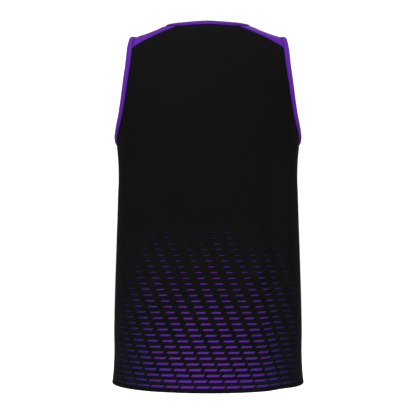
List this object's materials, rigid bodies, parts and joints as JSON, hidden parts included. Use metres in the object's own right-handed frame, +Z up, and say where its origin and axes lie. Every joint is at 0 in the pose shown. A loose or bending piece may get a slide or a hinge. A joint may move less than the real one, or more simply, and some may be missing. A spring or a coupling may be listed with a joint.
{
  "type": "training singlet",
  "caption": "Sleeveless knit training singlet in its worn, hollow shape, with a scoop neck, bound neck and armholes, contrast shoulder strips and a turned hem.",
  "frame": {"origin": "midway between the two straps, level with the inside of their crests, where the wearer's shoulders carry the garment", "axes": "+Z up, +Y out of the back, so the front faces -Y, and +X towards the wearer's left"},
  "size_m": [0.3996, 0.24, 0.7458],
  "materials": {
    "black_knit": "matte black polyester knit with a purple dyed-in print",
    "purple_knit": "matte violet polyester knit"
  },
  "bodies": {
    "root": {"back": "black_knit", "front": "black_knit", "shoulder_left": "purple_knit", "shoulder_right": "purple_knit", "neck_binding": "purple_knit", "armhole_binding_left": "purple_knit", "armhole_binding_right": "purple_knit"}
  },
  "joints": []
}
